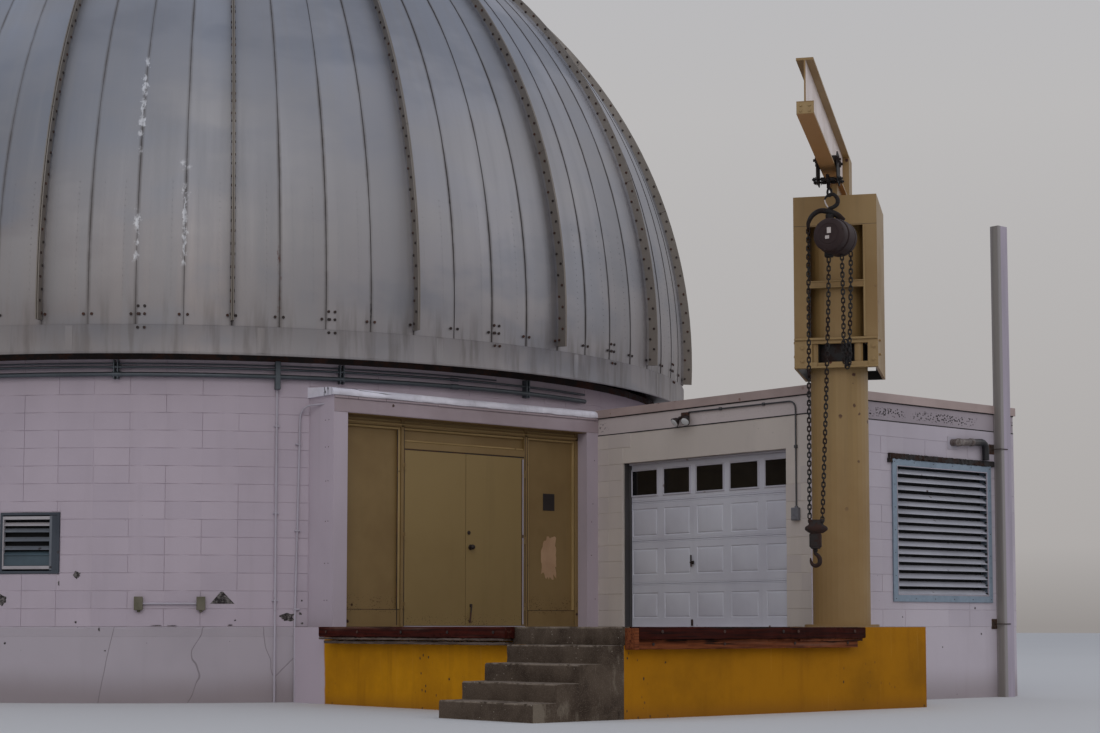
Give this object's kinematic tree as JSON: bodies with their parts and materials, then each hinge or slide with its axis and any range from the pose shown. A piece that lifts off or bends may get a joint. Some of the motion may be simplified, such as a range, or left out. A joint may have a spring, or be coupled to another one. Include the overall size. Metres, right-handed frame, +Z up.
{
  "type": "observatory dome building",
  "caption": "Rotating ribbed metal dome on a round block wall, with an entrance portal, a flat-roofed equipment room, a dock with steps and a pillar jib crane.",
  "frame": {"origin": "on the dome's axis at ground level, on the underside of the round foundation", "axes": "+Z up, the entrance doors look along -Y, the equipment room stands on the +X side of the entrance"},
  "size_m": [13.899, 20.1353, 11.6153],
  "materials": {
    "block": "painted concrete block, chipped",
    "concrete": "weathered concrete",
    "ochre_concrete": "ochre paint on concrete",
    "membrane": "white roofing sheet",
    "olive_paint": "satin, rusted low down",
    "red_timber": "worn red stain",
    "brown_timber": "weathered bare timber",
    "garage_paint": "satin",
    "dark_glass": "dark pane",
    "zinc": "galvanised",
    "dark_steel": "dark and rusty",
    "khaki_paint": "satin, weathered",
    "coping_metal": "faded",
    "white_metal": "satin",
    "dome_metal": "weathered, seamed"
  },
  "bodies": {
    "building": {"foundation": "block", "floor_slab": "concrete", "floor_ledge": "block", "drum_wall_1": "block", "drum_wall_2": "block", "drum_wall_3": "block", "drum_wall_4": "block", "drum_wall_5": "block", "drum_header": "block", "drum_louvre": "dark_steel", "roller_ring": "dark_steel", "conduit_lines": "zinc", "portal_left_pier": "block", "portal_right_pier": "block", "portal_lintel": "block", "portal_roof": "membrane", "door_screen": "olive_paint", "dock": "ochre_concrete", "side_bumper": "red_timber", "front_bumper_upper": "red_timber", "front_bumper_lower": "brown_timber", "steps": "concrete", "room_base": "block", "garage_wall_near": "block", "garage_wall_far": "block", "garage_wall_header": "block", "louvre_wall": "block", "room_side_wall": "block", "room_roof": "block", "room_coping": "coping_metal", "garage_door": "garage_paint", "garage_door_glass": "dark_glass", "wall_louvre": "zinc", "floodlight": "white_metal", "switch_box": "zinc", "vent_pipe": "dark_steel", "corner_post": "white_metal", "crane_pillar": "khaki_paint"},
    "dome": {"dome_base_ring": "dome_metal", "dome_gore_1": "dome_metal", "dome_gore_2": "dome_metal", "dome_gore_3": "dome_metal", "dome_gore_4": "dome_metal", "dome_gore_5": "dome_metal", "dome_gore_6": "dome_metal", "dome_gore_7": "dome_metal", "dome_gore_8": "dome_metal", "dome_gore_9": "dome_metal", "dome_gore_10": "dome_metal", "dome_crown": "dome_metal", "slit_frame": "dome_metal", "slit_shutter": "dome_metal"},
    "left_leaf": {"left_door": "olive_paint"},
    "right_leaf": {"right_door": "olive_paint"},
    "jib": {"crane_head": "khaki_paint", "crane_boom": "khaki_paint"},
    "trolley": {"hoist_trolley": "dark_steel", "chain_hoist": "dark_steel", "chain_and_hook": "dark_steel"}
  },
  "joints": [
    {"name": "dome_turn", "type": "hinge", "parent": "building", "child": "dome", "pos_m": [0, 0, 4.15], "axis": [0, 0, 1], "continuous": true},
    {"name": "left_door_hinge", "type": "hinge", "parent": "building", "child": "left_leaf", "pos_m": [-1.2505, -6.399, 1.9], "axis": [0, 0, -1], "range_deg": [0, 110]},
    {"name": "right_door_hinge", "type": "hinge", "parent": "building", "child": "right_leaf", "pos_m": [0.5845, -6.399, 1.9], "axis": [0, 0, 1], "range_deg": [0, 110]},
    {"name": "jib_swing", "type": "hinge", "parent": "building", "child": "jib", "pos_m": [1.01, -11.17, 5.3], "axis": [0, 0, 1], "range_deg": [-125, 150]},
    {"name": "trolley_travel", "type": "slide", "parent": "jib", "child": "trolley", "axis": [-0.807, -0.5906, 0], "range_m": [-0.45, 1.95]}
  ]
}
